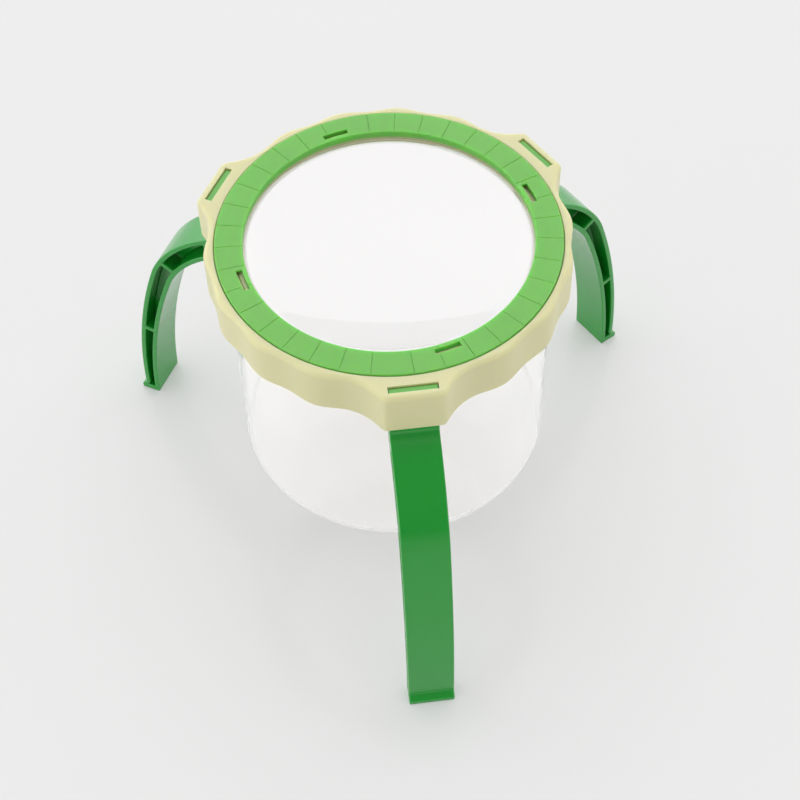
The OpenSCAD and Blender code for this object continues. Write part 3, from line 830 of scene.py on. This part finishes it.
def build_light():
    """A broad softbox over the back of the table, strip lights low on both sides, and dark in front.

    Seen straight or through the clear plastic, the room is an even pale wall.
    """
    lamp = bpy.data.lights.new("Softbox", "SUN")
    lamp.energy = 1.85
    lamp.angle = math.radians(88)
    obj = bpy.data.objects.new("Softbox", lamp)
    bpy.context.scene.collection.objects.link(obj)
    obj.rotation_euler = (math.radians(-21), 0, 0)
    world = bpy.data.worlds.new("Studio")
    bpy.context.scene.world = world
    world.use_nodes = True
    tree = world.node_tree
    tree.nodes.clear()
    left, right, back, front, above, wall = 2.9, 2.15, 1.8, 0.25, 0.3, 0.86
    way = add(tree, "ShaderNodeSeparateXYZ", {0: add(tree, "ShaderNodeTexCoord").outputs["Generated"]})
    flat_way = add(tree, "ShaderNodeCombineXYZ", {"X": way.outputs["X"], "Y": way.outputs["Y"]})
    heading = add(tree, "ShaderNodeVectorMath", {0: flat_way.outputs[0]}, operation="NORMALIZE")
    around = add(tree, "ShaderNodeSeparateXYZ", {0: heading.outputs[0]})

    def blend(share, low, high, value, other):
        """Goes from one level to another while the share of the way runs from low to high."""
        ramp = add(tree, "ShaderNodeMapRange", {
            "Value": share, "From Min": low, "From Max": high, 3: value, 4: other},
            interpolation_type="SMOOTHSTEP")
        return ramp.outputs[0]

    sides = blend(around.outputs["X"], -1.0, 1.0, left, right)
    to_back = blend(around.outputs["Y"], 0.2, 1.0, sides, back)
    to_front = blend(around.outputs["Y"], -0.96, -0.88, front, to_back)
    level = blend(way.outputs["Z"], 0.15, 0.52, to_front, above)
    path = add(tree, "ShaderNodeLightPath")
    seen = add(tree, "ShaderNodeMath", {
        0: path.outputs["Is Camera Ray"], 1: path.outputs["Is Transmission Ray"]}, operation="MAXIMUM")
    shown = add(tree, "ShaderNodeMix", {0: seen.outputs[0], 2: level, 3: wall}, data_type="FLOAT")
    grey = add(tree, "ShaderNodeCombineColor", {k: shown.outputs[0] for k in range(3)})
    glow = add(tree, "ShaderNodeBackground", {"Color": grey.outputs[0], "Strength": 1.0})
    add(tree, "ShaderNodeOutputWorld", {"Surface": glow.outputs[0]})


def build_camera():
    """The photograph's view: its place, the spot of floor it looks at, its tilt and its lens."""
    place = Vector((-35.86, -342.39, 535.48)) * MM
    aim = Vector((5.094, 49.335, 0.0)) * MM
    roll = math.radians(-1.387)
    data = bpy.data.cameras.new("Camera")
    data.lens = 74.207
    data.sensor_width = 36.0
    data.clip_start, data.clip_end = 0.01, 100.0
    obj = bpy.data.objects.new("Camera", data)
    bpy.context.scene.collection.objects.link(obj)
    facing = (aim - place).to_track_quat("-Z", "Y").to_matrix().to_4x4()
    obj.matrix_world = Matrix.Translation(place) @ facing @ Matrix.Rotation(roll, 4, "Z")
    bpy.context.scene.camera = obj


build_floor()
build_light()
build_camera()
bpy.context.scene.view_settings.view_transform = "Standard"
# Light runs along inside the lens at low angles, and stays black there with fewer bounces
bpy.context.scene.cycles.max_bounces = 28
bpy.context.scene.cycles.glossy_bounces = 24
bpy.context.scene.cycles.transmission_bounces = 16
